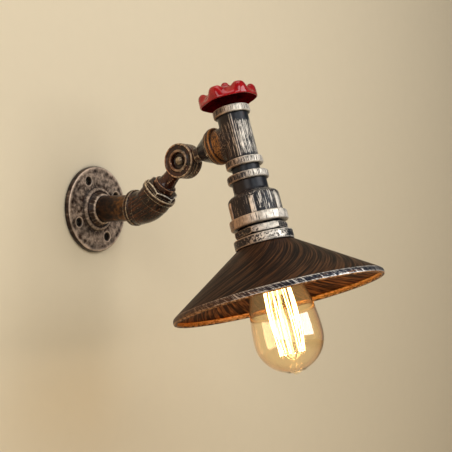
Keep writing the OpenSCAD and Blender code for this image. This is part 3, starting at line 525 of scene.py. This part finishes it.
# Radius stations: the bright rings at the hub's end and at the rim's front edge are painted highlights, the bare
# rim side is painted shade, and so is the thinner paint on the half towards -X.
finish["flange_iron"] = rubbed_iron(
    "flange_iron", WALL, OUT, RIGHT,
    [(14, 0.85), (15.2, 0.75), (16, 0.0), (18.5, 0.0), (20, 0.55), (22.4, 0.5), (24, 0.15), (27, 0.4),
     (36, 0.46), (39.5, 0.3), (41.4, 0.6), (42, 0.98), (43.1, 0.95), (43.5, 0.0)],
    BROWN_BLACK, BROWN, PINK_BRONZE, PINK_BRONZE, over="Radius", strokes_run="Radial", stretch=(8, 8, 0.22),
    softness=0.27, seed=9.0, brown_share=0.5, blotch=(0.1, 0.1, 0.1), warm_reflection_share=0.0, side_shade=0.25,
    edge_share=0.6, screws=True)
finish["elbow_iron"] = rubbed_iron(
    "elbow_iron", ELBOW, MID_BEND, RIGHT, [(-30, 0.1), (30, 0.1)],
    tone(17, 10, 8), tone(88, 48, 25), CHAMPAGNE, COPPER, stretch=(0.6, 0.6, 0.1), softness=0.12, seed=12.0,
    brown_share=0.42, blotch=(0.55, 0.55, 0.07), warm_reflection_share=0.2, edge=(0.008, 0.03),
    gloss=0.2, shine=0.28, skin=0.4)
finish["bushing_iron"] = rubbed_iron(
    "bushing_iron", PIVOT, ELBOW_OUT, RIGHT, [(-60, 0.1), (60, 0.1)],
    BROWN_BLACK, BROWN, SILVER, CHAMPAGNE, stretch=(0.4, 0.4, 0.3), seed=14.0, brown_share=0.4,
    gloss=0.18, shine=0.4, skin=0.35)
finish["knuckle_iron"] = rubbed_iron(
    "knuckle_iron", PIVOT, RIGHT, OUT, [(-10, 0.12), (10, 0.12)],
    tone(20, 10, 8), tone(70, 34, 20), tone(236, 198, 158), tone(212, 144, 96), stretch=(0.14, 0.14, 0.4),
    softness=0.14, seed=17.0, brown_share=0.5, warm_reflection_share=0.9, edge=(0.006, 0.03), edge_share=0.75,
    broken=0.7, gloss=0.16, shine=0.35, skin=0.25)
finish["cone_iron"] = rubbed_iron(
    "cone_iron", PIVOT, ARM, RIGHT, [(20, 0.05), (36, 0.1), (40, 0.16)],
    BLUE_BLACK, BROWN, CHAMPAGNE, COPPER, stretch=(0.5, 0.5, 0.1), seed=19.0, brown_share=0.35,
    warm_reflection_share=0.4, edge=(0.01, 0.04), edge_share=0.8, gloss=0.18, shine=0.3, skin=0.35)
finish["ring_iron"] = rubbed_iron(
    "ring_iron", TEE, DOWN, RIGHT, [(100, 0.25), (120, 0.25)],
    BLUE_BLACK, BROWN, tone(150, 130, 108), COPPER, seed=21.0)

for name, base, second, metallic, rough in (
        ("bolt_steel", (96, 74, 55), (210, 188, 156), 0.6, 0.22),
        ("washer_brass", (150, 116, 60), (196, 160, 92), 0.9, 0.34),
        ("contact_brass", (176, 140, 76), (212, 180, 112), 0.95, 0.28),
        ("cap_metal", (176, 160, 126), (206, 194, 166), 0.95, 0.3),
        ("hook_steel", (150, 146, 140), (190, 186, 180), 0.9, 0.32),
        ("switch_plastic", (28, 28, 30), (46, 46, 48), 0.0, 0.45),
        ("rotor_plastic", (196, 188, 162), (212, 206, 186), 0.0, 0.5),
        ("lead_plastic", (24, 24, 26), (44, 44, 46), 0.0, 0.5),
        ("insulator_plastic", (14, 14, 16), (30, 30, 34), 0.0, 0.25)):
    finish[name] = plain_finish(name, tone(*base), tone(*second), metallic, rough)
finish["holder_ceramic"] = plain_finish(
    "holder_ceramic", tone(226, 222, 208), tone(236, 233, 222), 0.0, 0.3, coat=0.5)
# The pip is paler and cloudier than the bulb's glass: a painted highlight on the seal.
pip_glass = plain_finish(
    "pip_glass", tone(252, 236, 200), tone(255, 250, 236), 0.0, 0.2, coat=0.8, clear=0.25)

finish["wheel_paint"] = red_paint(
    "wheel_paint", tone(160, 4, 12), tone(122, 2, 8), tone(200, 26, 36), tone(82, 0, 6), coat=0.85, ior=1.12)
# The underside takes the same paint darker, as painted shade, and without gloss.
wheel_underside_shaded = red_paint(
    "wheel_underside_shaded", tone(112, 1, 7), tone(74, 0, 5), tone(150, 10, 16), tone(40, 0, 3), coat=0.0, ior=1.0)
# Both glasses have a painted glow for the filament's light: faint in the bulb, strong in the stem.
finish["bulb_glass"] = clear_glass(
    "bulb_glass", tone(255, 242, 214), tone(218, 140, 48), rough=0.0, painted_glow=0.03)
finish["stem_glass"] = clear_glass(
    "stem_glass", tone(246, 240, 226), tone(240, 226, 196), rough=0.02, painted_glow=0.8)
finish["filament_glow"] = glowing_wire("filament_glow")

shade_outside = shade_finish(
    "shade_outside", tone(19, 11, 8), tone(86, 53, 30), tone(144, 96, 58),
    "Radius", [(19, 0.02), (60, 0.06), (94, 0.12), (99, 0.18)],
    (34, 34, 0.028), 0.42, twist=-0.015, soft=0.1, metallic=0.1, rough=0.5)
# The lip's ground and rub turn warm towards the wall: painted warm reflection.
shade_lip = shade_finish(
    "shade_lip", tone(26, 29, 38), tone(138, 94, 56), tone(224, 218, 210),
    "Along", [(151, 0.8), (152, 0.6), (153.2, 0.33), (155.8, 0.3), (156.8, 0.55), (158.4, 0.75)],
    (5, 5, 0.5), 0.2, slant=0.01, seed=31.0, dashes=(95, 95, 0.17), warm_reflection_share=0.95, warm_reflection_ground=0.2)
# Inside: the pale rub rises towards the rim as painted light from the bulb.
shade_inside = shade_finish(
    "shade_inside", tone(44, 26, 15), tone(146, 88, 46), tone(236, 168, 94),
    "Radius", [(19, 0.06), (60, 0.12), (92, 0.16), (98, 0.2)],
    (26, 26, 0.05), 0.42, twist=-0.012, soft=0.1, seed=41.0, dashes=(60, 60, 0.1))
# The bead's paint comes as a lit copy, orange on its inner side as painted light from the bulb, and a shaded copy
# on its outer and lower side as painted shade.
shade_bead_lit = shade_finish(
    "shade_bead_lit", tone(150, 82, 34), tone(216, 130, 56), tone(250, 196, 124),
    "Along", [(152, 0.5), (155, 0.6), (158.4, 0.6)], (6, 6, 0.6), 0.6, seed=51.0)
shade_bead_shaded = shade_finish(
    "shade_bead_shaded", tone(46, 26, 15), tone(130, 80, 44), tone(228, 174, 120),
    "Along", [(155, 0.25), (156.5, 0.5), (157.6, 0.5), (158.4, 0.25)], (6, 6, 0.6), 0.5, seed=61.0)
finish["shade_paint"] = shade_outside


# Mesh helpers

def arc(centre, r, start, end, steps):
    """Points on a circle between two angles in degrees."""
    angles = [math.radians(start + (end - start) * i / steps) for i in range(steps + 1)]
    return [(centre[0] + r * math.cos(a), centre[1] + r * math.sin(a)) for a in angles]


def curve_points(a, b, c, d, steps):
    """Points on a Bezier curve from a to d."""
    points = []
    for i in range(steps + 1):
        t = i / steps
        u = 1 - t
        points.append(tuple(u ** 3 * a[k] + 3 * u ** 2 * t * b[k] + 3 * u * t * t * c[k] + t ** 3 * d[k]
                            for k in (0, 1)))
    return points


def points_between(start, stop, steps):
    return [tuple(start[k] + (stop[k] - start[k]) * i / steps for k in (0, 1)) for i in range(1, steps)]


def head_spot(radius, angle, station):
    """Place in the scene of a point round the head's axis, from millimetres and radians."""
    return HEAD @ (Vector((radius * math.cos(angle), radius * math.sin(angle), station)) * MM)


def mesh_from(work, name):
    bmesh.ops.recalc_face_normals(work, faces=work.faces)
    data = bpy.data.meshes.new(name)
    work.to_mesh(data)
    work.free()
    return data


def finish_piece(name, mesh_data, body, materials, replaced):
    piece = bpy.data.objects.new(name, mesh_data)
    bpy.context.scene.collection.objects.link(piece)
    for material in materials:
        mesh_data.materials.append(material)
    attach(piece, body)
    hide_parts(replaced)
    return piece


def turned_mesh(name, profile, segments, zones):
    """Closed mesh turned round the head's axis from points of radius and station.

    zones gives the number of each step's material.
    """
    work = bmesh.new()
    rings = []
    for radius, station in profile:
        if radius < 1e-6:
            rings.append([work.verts.new(head_spot(0, 0, station))] * segments)
        else:
            rings.append([work.verts.new(head_spot(radius, 2 * math.pi * i / segments, station))
                          for i in range(segments)])
    for j, low in enumerate(rings):
        high = rings[(j + 1) % len(rings)]
        for i in range(segments):
            k = (i + 1) % segments
            corners = list(dict.fromkeys((low[i], low[k], high[k], high[i])))
            if len(corners) > 2:
                face = work.faces.new(corners)
                face.smooth = True
                face.material_index = zones[j]
    return mesh_from(work, name)


def wire_piece(name, runs, radius, body, slot, replaced):
    """Round wires through points of the head's frame, in millimetres."""
    data = bpy.data.curves.new(name, "CURVE")
    data.dimensions = "3D"
    data.bevel_depth = radius * MM
    data.bevel_resolution = 3
    data.use_fill_caps = True
    for run in runs:
        spline = data.splines.new("POLY")
        spline.points.add(len(run) - 1)
        for point, spot in zip(spline.points, run):
            point.co = (*(HEAD @ (spot * MM)), 1)
        spline.use_smooth = True
    finish_piece(name, data, body, [finish[slot]], replaced)


# CAD nodes: each takes the finish of its slot, the wall nipple the wall pipe's finish, and castings get rounded
# edges.
slot_of = {row["node"]: row["material_slot"] for row in frame["record"]["subparts"]}
for node_name, piece in nodes.items():
    piece.data.materials.clear()
    piece.data.materials.append(wall_pipe if node_name == "wall_nipple" else finish[slot_of[node_name]])


def soften_casting(node_name, voxel, passes):
    piece = nodes[node_name]
    remesh = piece.modifiers.new("cast_skin", "REMESH")
    remesh.mode = "VOXEL"
    remesh.voxel_size = voxel * MM
    remesh.use_smooth_shade = True
    smooth = piece.modifiers.new("cast_edges", "SMOOTH")
    smooth.factor = 0.5
    smooth.iterations = passes


for node_name, voxel, passes in (
        ("wall_flange", 0.5, 4), ("elbow", 0.5, 5), ("elbow_bushing", 0.45, 3), ("knuckle_base", 0.4, 4),
        ("knuckle_eye", 0.4, 4), ("arm_cone", 0.45, 4), ("tee", 0.5, 5), ("reducer", 0.5, 4),
        ("shade_lock_ring", 0.5, 3), ("wheel_nut", 0.3, 4), ("pivot_bolt", 0.35, 3),
        ("holder_sleeve", 0.5, 3)):
    soften_casting(node_name, voxel, passes)


def make_shade():
    """One turned sheet with a knee, an upright lip and a rolled bead."""
    knee, bead, cone_steps = 4.0, 1.6, 24
    shaded_steps, lit_steps = 11, 6
    slope = math.degrees(math.atan2(LIP_TOP - SHADE_TOP, SHADE_R - knee - SHADE_TOP_R))
    lean = SHEET * math.tan(math.radians(slope / 2))
    knee_at = (SHADE_R - knee, LIP_TOP + knee)
    outside = [(HOLE_R, SHADE_TOP), (SHADE_TOP_R - 2, SHADE_TOP), (SHADE_TOP_R, SHADE_TOP + 0.3)]
    turn = arc(knee_at, knee, slope - 90, 0, 10)
    cone = points_between(outside[-1], turn[0], cone_steps)
    lip = [(SHADE_R, SHADE_END - bead)]
    roll = arc((SHADE_R - bead, SHADE_END - bead), bead, 0, 180, 12)[1:]
    roll += [(SHADE_R - 2 * bead, SHADE_END - 1.6 * bead), (SHADE_R - SHEET, SHADE_END - 1.7 * bead)]
    inner_turn = arc(knee_at, knee - SHEET, 0, slope - 90, 8)
    back = (SHADE_TOP_R - lean, SHADE_TOP + SHEET)
    inner_cone = points_between(inner_turn[-1], back, cone_steps)
    inside = inner_turn + inner_cone + [back, (HOLE_R, SHADE_TOP + SHEET)]
    profile = outside + cone + turn + lip + roll + inside
    # The bead's outer and lower steps take its shaded paint and its inner steps its lit paint.
    zones = ([0] * (len(outside) + len(cone)) + [1] * (len(turn) + len(lip)) + [4] * shaded_steps
             + [3] * (len(roll) - shaded_steps + lit_steps) + [2] * (len(inside) - lit_steps))
    data = turned_mesh("shade_sheet", profile, 192, zones)
    finish_piece("shade_sheet", data, "lamp_head",
                 [shade_outside, shade_lip, shade_inside, shade_bead_lit, shade_bead_shaded], "shade")


def glass_wall(depth, steps):
    """Profile of the bulb's glass at a depth under its outer face, with a ripple round the seal."""
    wide = BULB_END - BULB_R
    neck = NECK_R - depth
    ripple = 0.7 if depth == 0 else 0.14
    side = curve_points((neck, CAP_END + 1), (NECK_R + 5.5 - depth, CAP_END + 21),
                        (BULB_R - depth, wide - 40), (BULB_R - depth, wide), steps)
    ball = [(r, station + ripple * math.exp(-((r - 7.5) / 1.6) ** 2))
            for r, station in arc((0, wide), BULB_R - depth, 3, 82, 60)]
    return [(neck, CAP_END - 6)] + side + ball


def make_bulb():
    """Blown glass with a sealed pip."""
    outer = glass_wall(0, 40)
    waist = (3.4, BULB_END + 1.0)
    pip = (curve_points((4.2, BULB_END - 0.2), (3.6, BULB_END), (3.9, BULB_END + 0.6), waist, 6)
           + curve_points(waist, (2.8, BULB_END + 1.4), (2.4, BULB_END + 1.85), (0, BULB_END + 1.85), 6)[1:])
    inner = glass_wall(GLASS, 40) + [(0, BULB_END - GLASS)]
    zones = [0] * (len(outer) - 1) + [1] * len(pip) + [0] * (len(inner) + 1)
    data = turned_mesh("blown_glass", outer + pip + inner[::-1], 128, zones)
    finish_piece("blown_glass", data, "bulb", [finish["bulb_glass"], pip_glass], "bulb_glass")


def make_cap():
    """Rolled E27 cap: one helical groove that fades out at both ends, and a taper at the top."""
    pitch, depth, taper = 3.629, 1.1, 2.4
    fade_top, fade_end = 3.0, 1.5
    around, steps = 72, 84
    work = bmesh.new()
    rows = []
    for j in range(steps + 1):
        station = CAP_TOP + (CAP_END - CAP_TOP) * j / steps
        from_top = station - CAP_TOP
        deep = depth * max(0.0, min(1.0, from_top / fade_top, (CAP_END - station) / fade_end))
        slim = taper * max(0.0, 1 - from_top / taper)
        row = []
        for i in range(around):
            wave = 0.5 + 0.5 * math.cos(2 * math.pi * (station / pitch - i / around))
            radius = CAP_R - slim - deep * wave
            row.append(work.verts.new(head_spot(radius, 2 * math.pi * i / around, station)))
        rows.append(row)
    for low, high in zip(rows, rows[1:]):
        for i in range(around):
            k = (i + 1) % around
            work.faces.new((low[i], high[i], high[k], low[k])).smooth = True
    work.faces.new(rows[0])
    data = mesh_from(work, "threaded_cap")
    piece = finish_piece("threaded_cap", data, "bulb", [finish["cap_metal"]], "bulb_cap")
    skin = piece.modifiers.new("sheet", "SOLIDIFY")
    skin.thickness = 0.4 * MM
    skin.offset = -1


def cage_spot(i, reach=CAGE_R, step=0.0):
    """Place of hook i on the cage, a step of degrees round from its middle."""
    a = 2 * math.pi * i / SPANS + math.radians(step)
    return Vector((reach * math.cos(a), reach * math.sin(a), CAGE_END if i % 2 else CAGE_TOP))


def raised(spot, height):
    return spot + Vector((0, 0, height))


def make_filament():
    """One wire up and down between two rings of hooks, each span bowed and swayed by its own amount."""
    wire_r, hook_r, hook_root_r = 0.3, 0.26, 1.5
    loop_turn, loop_rise = 4.5, 0.9
    run = []
    hooks = []
    for i in range(SPANS):
        end = 1 if i % 2 else -1
        for degrees in range(-90, 91, 30):
            a = math.radians(degrees)
            run.append(raised(cage_spot(i, CAGE_R, loop_turn * math.sin(a)), end * loop_rise * math.cos(a)))
        if i < SPANS - 1:
            start = cage_spot(i, CAGE_R, loop_turn)
            stop = cage_spot(i + 1, CAGE_R, -loop_turn)
            for t in (0.2, 0.4, 0.6, 0.8):
                swell = math.sin(math.pi * t)
                bow = 1 + (0.05 + 0.22 * (i * 7 % 5) / 4) * swell
                sway = math.radians(10 * math.sin(2.4 * i)) * swell
                spot = start.lerp(stop, t)
                run.append(Matrix.Rotation(sway, 3, "Z") @ Vector((spot.x * bow, spot.y * bow, spot.z)))
        tip = cage_spot(i)
        root = cage_spot(i, hook_root_r)
        outer = Vector((tip.x * 1.06, tip.y * 1.06, tip.z))
        hooks.append([root, raised(root.lerp(tip, 0.5), -0.8 * end),
                      raised(root.lerp(tip, 0.85), -0.5 * end), raised(tip, -0.9 * end),
                      raised(outer, -0.2 * end), raised(tip, 0.2 * end)])
    wire_piece("filament_wire", [run], wire_r, "bulb", "filament_glow", "filament")
    wire_piece("hook_wires", hooks, hook_r, "bulb", "hook_steel", "filament_hooks")


def make_wheel():
    """Cast handwheel: a dished rim that swells into lobes, a web with a rib under each lobe, and a hub."""
    around, under_start = 180, 17
    work = bmesh.new()
    sections = []
    for i in range(around):
        a = 2 * math.pi * i / around
        wave = 0.5 + 0.5 * math.cos(WHEEL_LOBES * (a - math.radians(WHEEL_TURN)))
        lobe = wave ** 0.9
        rib = wave ** 6
        swell = min(1.0, 1.25 * max(0.0, wave - 0.3) / 0.7)
        top = 10.2 + 2.7 * math.sin(math.pi / 2 * swell)
        edge = HOLLOW_R + (WHEEL_R - HOLLOW_R) * lobe
        foot = WHEEL_R - 1.2 * (1 - lobe)
        hub_top = [(2.4, 9.9), (7.4, 9.9), (8.3, 9.5), (8.9, 7.8)]
        rim_top = [(edge - 12.5, 7.2), (edge - 8.5, 7.6 + 0.6 * lobe), (edge - 6.6, top - 1.6),
                   (edge - 5.2, top - 0.5), (edge - 3.8, top), (edge - 2.6, top - 0.2),
                   (edge - 1.5, top - 1.0), (edge - 0.7, top - 2.4)]
        rim_side = [(0.7 * edge + 0.3 * foot, top - 4.6), (0.3 * edge + 0.7 * foot, 3.6), (foot, 1.6),
                    (foot - 0.1, 0.7), (foot - 0.5, 0.15), (foot - 1.2, 0.0)]
        underside = [(foot - 2.2, 0.3), (foot - 3.4, 1.5), (foot - 5.6, 3.9 - 1.3 * rib),
                     (foot - 9, 4.8 - 1.8 * rib), (10, 4.8 - 1.6 * rib), (8.6, 4.1 - 0.8 * rib)]
        hub_foot = [(7.6, 1.7), (7.1, -1.9), (6.6, -2.5), (3.2, -2.5), (3.2, 0.3), (2.4, 0.3)]
        sections.append([work.verts.new(head_spot(r, -a, -WHEEL_BASE - z))
                         for r, z in hub_top + rim_top + rim_side + underside + hub_foot])
    for i, low in enumerate(sections):
        high = sections[(i + 1) % around]
        for j in range(len(low)):
            k = (j + 1) % len(low)
            face = work.faces.new((low[j], low[k], high[k], high[j]))
            face.smooth = True
            face.material_index = 1 if j >= under_start else 0
    data = mesh_from(work, "cast_wheel")
    piece = finish_piece("cast_wheel", data, "valve_wheel",
                         [finish["wheel_paint"], wheel_underside_shaded], "handwheel")
    rounded = piece.modifiers.new("rounding", "SUBSURF")
    rounded.levels = rounded.render_levels = 1


make_wheel()
make_shade()
make_bulb()
make_cap()
make_filament()


def make_camera():
    """Camera at the photograph's angle; returns its directions ahead, right and up, without its roll."""
    spot = Vector((-0.8404, -0.74994, -0.0344))
    azimuth, elevation, roll = math.radians(55.169), math.radians(0.812), math.radians(-0.508)
    level = math.cos(elevation)
    ahead = Vector((math.sin(azimuth) * level, math.cos(azimuth) * level, math.sin(elevation)))
    right = Vector((math.cos(azimuth), -math.sin(azimuth), 0))
    up = right.cross(ahead)
    across = right * math.cos(roll) + up * math.sin(roll)
    upright = up * math.cos(roll) - right * math.sin(roll)
    data = bpy.data.cameras.new("camera")
    data.lens = 86.35
    data.sensor_width = 36
    camera = bpy.data.objects.new("camera", data)
    bpy.context.scene.collection.objects.link(camera)
    turn = Matrix((across, upright, -ahead)).transposed().to_4x4()
    camera.matrix_world = Matrix.Translation(spot) @ turn
    bpy.context.scene.camera = camera
    return ahead, right, up


ahead, right, up = make_camera()


# Stage and light

def stage_paint(name, colour):
    """Matt paint with a painted shadow where the flange meets it, and clear from behind and to rays that start at
    it.
    """
    shadow_end, shadow_full, touch = 0.07, 0.05, 0.002
    material, tree, shader = new_material(name)
    spot = object_spot(tree)
    paint = mix_colour(tree, noise(tree, spot, 60.0, 3.0), colour, darker(colour, 0.97))
    near = smooth_step(tree, length(tree, spot), shadow_end, shadow_full)
    # Painted shadow round the flange, from the corner shade mask.
    shut = times(tree, use(tree, corner_shade, Reach=0.012)["Mask"], near)
    feed(tree, shader, Base_Color=mix_colour(tree, shut, paint, tone(18, 12, 8)), Roughness=0.9,
         Specular_IOR_Level=0.1)
    behind = place(tree, "ShaderNodeNewGeometry").outputs["Backfacing"]
    path = place(tree, "ShaderNodeLightPath").outputs
    touching = math_node(tree, "LESS_THAN", path["Ray Length"], touch)
    touching = math_node(tree, "SUBTRACT", touching, path["Is Camera Ray"], clamp=True)
    show_clear_where(tree, shader, most(tree, behind, touching))
    return material


def stage_plane(name, corners, material):
    data = bpy.data.meshes.new(name)
    data.from_pydata(corners, [], [(0, 1, 2, 3)])
    plane = bpy.data.objects.new(name, data)
    bpy.context.scene.collection.objects.link(plane)
    data.materials.append(material)


PALE = tone(218, 203, 174)
SIDE, WALL_Y, WALL_TOP, FLOOR_Z, FLOOR_FRONT = 4, 0.0004, 3, -0.6, -5
stage_plane("wall", [(-SIDE, WALL_Y, FLOOR_Z), (SIDE, WALL_Y, FLOOR_Z), (SIDE, WALL_Y, WALL_TOP),
                     (-SIDE, WALL_Y, WALL_TOP)], stage_paint("wall_paint", PALE))
stage_plane("floor", [(-SIDE, FLOOR_FRONT, FLOOR_Z), (SIDE, FLOOR_FRONT, FLOOR_Z), (SIDE, WALL_Y, FLOOR_Z),
                      (-SIDE, WALL_Y, FLOOR_Z)], stage_paint("floor_paint", PALE))

MIDDLE = Vector((0, -0.17, -0.02))


def soft_light(name, away, width, height, watts, colour):
    """Softbox at an offset from the lamp's middle, turned towards it."""
    data = bpy.data.lights.new(name, "AREA")
    data.shape = "RECTANGLE"
    data.size = width
    data.size_y = height
    data.energy = watts
    data.color = colour
    lamp = bpy.data.objects.new(name, data)
    bpy.context.scene.collection.objects.link(lamp)
    lamp.location = MIDDLE + away
    lamp.rotation_mode = "QUATERNION"
    lamp.rotation_quaternion = (-away).to_track_quat("-Z", "Y")


soft_light("key", right * 1.0 + up * 0.45 - ahead * 0.42, 0.8, 0.8, 10.4, (0.98, 0.98, 1.0))
soft_light("front", right * 0.45 + up * 0.75 - ahead * 1.0, 0.5, 0.5, 3.5, (0.93, 0.97, 1.0))
soft_light("fill", -right * 0.4 + up * 0.3 - ahead * 1.05, 0.55, 0.85, 4.6, (1.0, 0.96, 0.9))
soft_light("top", up * 1.3 - ahead * 0.2, 0.8, 0.8, 4, (1.0, 0.98, 0.95))

world = bpy.data.worlds.new("studio")
bpy.context.scene.world = world
world.use_nodes = True
sky = world.node_tree.nodes["Background"]
sky.inputs["Color"].default_value = (0.9, 0.88, 0.85, 1)
sky.inputs["Strength"].default_value = 0.2
bpy.context.scene.view_settings.view_transform = "Standard"
